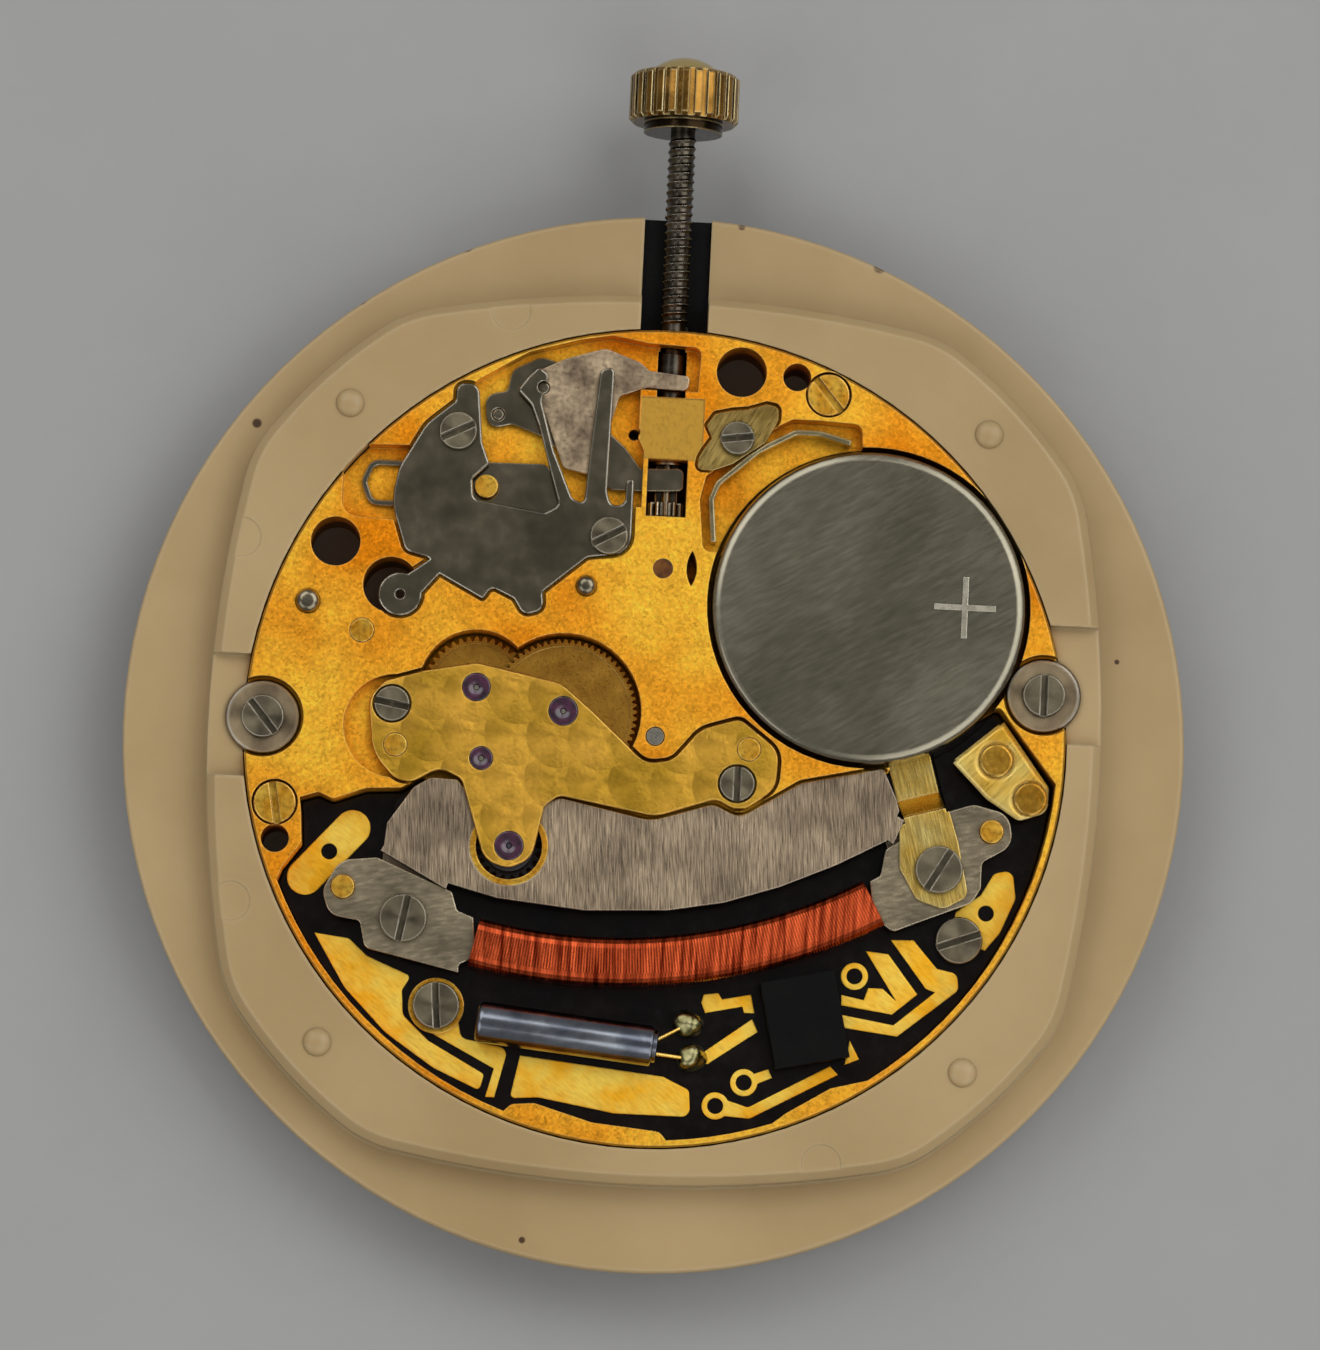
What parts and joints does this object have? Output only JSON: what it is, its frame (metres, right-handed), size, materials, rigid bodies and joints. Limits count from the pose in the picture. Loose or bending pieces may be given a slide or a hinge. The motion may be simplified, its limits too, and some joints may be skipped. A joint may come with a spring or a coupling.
{
  "type": "quartz watch movement",
  "caption": "Round gilt quartz watch movement in a plastic casing ring, with button cell, coil, circuit, gear train, keyless works, stem and fluted crown.",
  "frame": {"origin": "centre of the movement, on the plane of the dial seat, inside the hour hand's pipe", "axes": "+Z towards the battery side, +Y along the stem to the crown, -Z towards the dial"},
  "size_m": [0.0266, 0.0307, 0.004],
  "materials": {
    "ring_plastic": "satin cream moulding",
    "black_plastic": "matt black",
    "gilt_plate": "frosted gilt",
    "gilt_bridge": "fine swirled gilt",
    "gilt_trim": "bright gilt",
    "ruby": "polished",
    "magnet": "ground",
    "wheel_brass": "cut teeth, satin",
    "steel": "polished",
    "stator_steel": "satin",
    "dark_steel": "dark polished",
    "copper": "enamelled copper wire",
    "gold_track": "gold flash",
    "can_metal": "polished",
    "solder": "bright solder",
    "cell_steel": "satin",
    "gasket": "matt",
    "crown_gold": "gold plated, polished"
  },
  "bodies": {
    "movement": {"casing_ring": "ring_plastic", "stem_channel_strip": "black_plastic", "main_plate": "gilt_plate", "train_bridge": "gilt_bridge", "bridge_jewels": "ruby", "plate_jewels": "ruby", "setting_jewel": "ruby", "cover_jewel": "ruby", "rotor_sleeve": "gilt_trim", "minute_post": "steel", "motion_cover": "steel", "cover_screws": "steel", "stator": "stator_steel", "coil_core": "stator_steel", "coil_winding": "copper", "circuit_board": "black_plastic", "circuit_tracks": "gold_track", "circuit_chip": "black_plastic", "circuit_collar": "gilt_trim", "crystal_can": "can_metal", "crystal_leads": "can_metal", "lead_solder": "solder", "battery_clamp": "gilt_trim", "battery_spring": "steel", "negative_contact": "gold_track", "positive_contact": "gilt_trim", "contact_rivets": "gilt_trim", "setting_jumper": "dark_steel", "yoke_spring": "dark_steel", "casing_washers": "steel", "jumper_screws": "steel", "bridge_screws": "steel", "coil_screws": "steel", "circuit_screws": "steel", "battery_clamp_screw": "steel", "dial_foot_screws": "gilt_trim", "casing_screws": "steel", "gilt_pins": "gilt_trim", "steel_pins": "steel", "keyless_pins": "steel"},
    "rotor_body": {"rotor": "magnet"},
    "intermediate_body": {"intermediate_wheel": "wheel_brass"},
    "second_body": {"second_wheel": "wheel_brass"},
    "third_body": {"third_wheel": "wheel_brass"},
    "centre_body": {"centre_wheel": "wheel_brass", "cannon_pinion": "steel"},
    "minute_body": {"minute_wheel": "wheel_brass"},
    "hour_body": {"hour_wheel": "wheel_brass"},
    "setting_wheel_body": {"setting_wheel": "steel"},
    "clutch_body": {"sliding_pinion": "steel"},
    "stem_body": {"stem": "dark_steel", "crown": "crown_gold"},
    "lever_body": {"setting_lever": "steel"},
    "yoke_body": {"yoke": "dark_steel"},
    "battery_body": {"cell_can": "cell_steel", "cell_gasket": "gasket", "cell_cap": "cell_steel"}
  },
  "joints": [
    {"name": "rotor_turn", "type": "hinge", "parent": "movement", "child": "rotor_body", "pos_m": [-0.00352, -0.00291, 0.001], "axis": [0, 0, 1], "continuous": true},
    {"name": "intermediate_turn", "type": "hinge", "parent": "movement", "child": "intermediate_body", "pos_m": [-0.00432, -0.00075, 0.001], "axis": [0, 0, 1], "continuous": true},
    {"name": "second_turn", "type": "hinge", "parent": "movement", "child": "second_body", "pos_m": [-0.00452, 0.00103, 0.001], "axis": [0, 0, 1], "continuous": true},
    {"name": "third_turn", "type": "hinge", "parent": "movement", "child": "third_body", "pos_m": [-0.00232, 0.00053, 0.001], "axis": [0, 0, 1], "continuous": true},
    {"name": "centre_turn", "type": "hinge", "parent": "movement", "child": "centre_body", "pos_m": [0, 0, 0.0005], "axis": [0, 0, 1], "continuous": true},
    {"name": "minute_turn", "type": "hinge", "parent": "movement", "child": "minute_body", "pos_m": [0.00158, 0.0018, 0.0004], "axis": [0, 0, 1], "continuous": true},
    {"name": "hour_turn", "type": "hinge", "parent": "movement", "child": "hour_body", "pos_m": [0, 0, 0.0002], "axis": [0, 0, 1], "continuous": true},
    {"name": "setting_wheel_turn", "type": "hinge", "parent": "movement", "child": "setting_wheel_body", "pos_m": [0, 0.00424, 0.0005], "axis": [0, 0, 1], "continuous": true},
    {"name": "crown_turn", "type": "hinge", "parent": "movement", "child": "clutch_body", "pos_m": [0, 0.0065, 0.00125], "axis": [0, 1, 0], "continuous": true},
    {"name": "crown_pull", "type": "slide", "parent": "clutch_body", "child": "stem_body", "axis": [0, 1, 0], "range_m": [0, 0.00045]},
    {"name": "setting_lever_swing", "type": "hinge", "parent": "movement", "child": "lever_body", "pos_m": [-0.00321, 0.00869, 0.0018], "axis": [0, 0, 1], "range_deg": [0, 8.08]},
    {"name": "yoke_swing", "type": "hinge", "parent": "movement", "child": "yoke_body", "pos_m": [-0.00432, 0.00799, 0.0016], "axis": [0, 0, 1], "range_deg": [-2.41, 0]},
    {"name": "battery_lift", "type": "slide", "parent": "movement", "child": "battery_body", "axis": [0, 0, 1], "range_m": [0, 0.006]}
  ],
  "couplings": [
    {"joint": "second_turn", "follows": "third_turn", "ratio": -4.125},
    {"joint": "intermediate_turn", "follows": "third_turn", "ratio": 11},
    {"joint": "rotor_turn", "follows": "third_turn", "ratio": -22},
    {"joint": "centre_turn", "follows": "third_turn", "ratio": -0.18333},
    {"joint": "minute_turn", "follows": "third_turn", "ratio": 0.061111},
    {"joint": "hour_turn", "follows": "third_turn", "ratio": -0.015278},
    {"joint": "setting_wheel_turn", "follows": "third_turn", "ratio": -0.1},
    {"joint": "setting_lever_swing", "follows": "crown_pull", "rad_per_m": 313},
    {"joint": "yoke_swing", "follows": "crown_pull", "rad_per_m": -93.084}
  ]
}
